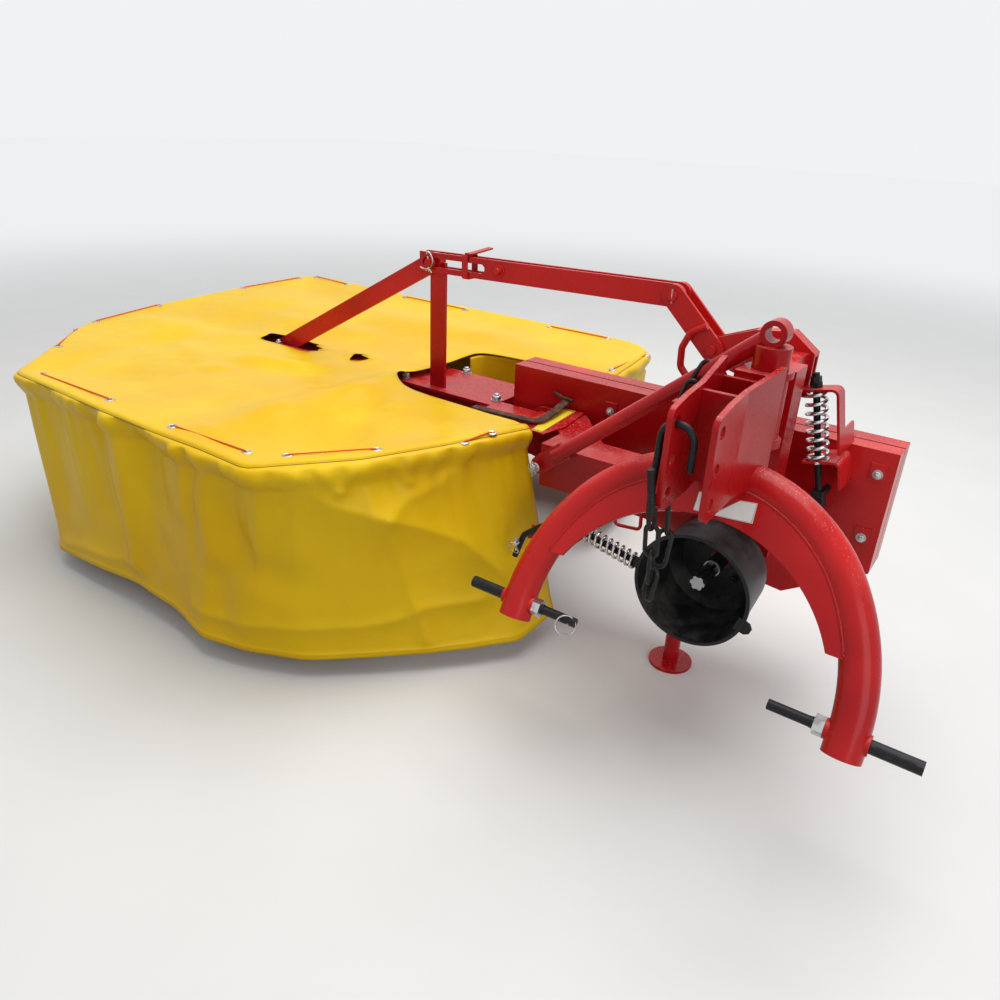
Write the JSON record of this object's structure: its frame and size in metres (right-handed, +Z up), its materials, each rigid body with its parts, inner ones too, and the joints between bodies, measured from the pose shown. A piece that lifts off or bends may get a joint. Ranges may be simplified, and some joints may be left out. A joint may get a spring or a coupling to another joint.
{
  "type": "drum mower",
  "caption": "Rear-mounted drum mower for a three-point hitch: arched hitch frame, swinging beam with belt guard, lift linkage and a canvas-covered cutting unit on sliding discs.",
  "frame": {"origin": "on the ground under the middle of the machine's outline", "axes": "+X towards the free side of the hitch, away from the cutting unit; +Y to the rear; +Z up"},
  "size_m": [3.033, 1.654, 1.0259],
  "materials": {
    "red_paint": "glossy red enamel with fine speckle on top faces",
    "dark_steel": "black oxide steel",
    "zinc": "bright zinc plating",
    "spring_chrome": "plated coil spring",
    "black_plastic": "moulded black plastic",
    "yellow_canvas": "coated tarpaulin with a soft sheen",
    "steel": "ground steel"
  },
  "bodies": {
    "hitch_frame": {"hitch_arch": "red_paint", "arch_web": "red_paint", "mast_plates": "red_paint", "king_lugs": "red_paint", "link_pins": "dark_steel", "pin_nuts": "zinc"},
    "swing_frame": {"king_pin": "dark_steel", "swing_post": "red_paint", "main_beam": "red_paint", "stay_tube": "red_paint", "lever_bracket": "red_paint", "belt_guard_front": "red_paint", "belt_guard_rear": "red_paint", "guard_tie": "red_paint", "tensioner_brackets": "red_paint", "tensioner_rod": "dark_steel", "tensioner_spring": "spring_chrome", "release_rod": "dark_steel", "release_spring": "spring_chrome", "shaft_bowl": "black_plastic"},
    "drive_shaft": {"drive_shaft": "steel"},
    "stand": {"stand": "red_paint"},
    "lift_lever": {"lift_lever": "red_paint"},
    "lift_link": {"lift_link": "red_paint"},
    "cutter_unit": {"gear_head": "red_paint", "cutter_beam": "red_paint", "lift_frame": "red_paint", "cover_arms": "red_paint", "axle_inner": "dark_steel", "axle_outer": "dark_steel", "cover": "yellow_canvas"},
    "drum_inner": {"drum_inner": "red_paint", "blades_inner": "steel"},
    "drum_outer": {"drum_outer": "red_paint", "blades_outer": "steel"},
    "skid_inner": {"skid_inner": "red_paint"},
    "skid_outer": {"skid_outer": "red_paint"}
  },
  "joints": [
    {"name": "kingpin_swing", "type": "hinge", "parent": "hitch_frame", "child": "swing_frame", "pos_m": [1.0265, -0.247, 0.8], "axis": [0, 0, 1], "range_deg": [-75, 0]},
    {"name": "shaft_spin", "type": "hinge", "parent": "swing_frame", "child": "drive_shaft", "pos_m": [0.9875, -0.355, 0.44], "axis": [0, 1, 0], "continuous": true},
    {"name": "stand_slide", "type": "slide", "parent": "swing_frame", "child": "stand", "axis": [0, 0, 1], "range_m": [0, 0.25]},
    {"name": "cutter_tilt", "type": "hinge", "parent": "swing_frame", "child": "cutter_unit", "pos_m": [0.3115, -0.001, 0.54], "axis": [0, 1, 0], "range_deg": [-4, 20]},
    {"name": "lever_pivot", "type": "hinge", "parent": "swing_frame", "child": "lift_lever", "pos_m": [0.8055, 0.033, 0.87], "axis": [0, 1, 0], "range_deg": [-7, 33]},
    {"name": "link_pivot", "type": "hinge", "parent": "lift_lever", "child": "lift_link", "pos_m": [0.6855, 0.033, 0.985], "axis": [0, 1, 0], "range_deg": [-27, 6]},
    {"name": "drum_inner_spin", "type": "hinge", "parent": "cutter_unit", "child": "drum_inner", "pos_m": [-0.1365, 0.115, 0.3], "axis": [0, 0, 1], "continuous": true},
    {"name": "drum_outer_spin", "type": "hinge", "parent": "cutter_unit", "child": "drum_outer", "pos_m": [-0.9605, 0.115, 0.3], "axis": [0, 0, 1], "continuous": true},
    {"name": "skid_inner_spin", "type": "hinge", "parent": "cutter_unit", "child": "skid_inner", "pos_m": [-0.1365, 0.115, 0.03], "axis": [0, 0, 1], "continuous": true},
    {"name": "skid_outer_spin", "type": "hinge", "parent": "cutter_unit", "child": "skid_outer", "pos_m": [-0.9605, 0.115, 0.03], "axis": [0, 0, 1], "continuous": true}
  ],
  "couplings": [
    {"joint": "lever_pivot", "follows": "cutter_tilt", "ratio": 1.6},
    {"joint": "link_pivot", "follows": "cutter_tilt", "ratio": -1.3212},
    {"joint": "drum_outer_spin", "follows": "drum_inner_spin", "ratio": -1},
    {"joint": "shaft_spin", "follows": "drum_inner_spin", "ratio": -0.28}
  ]
}
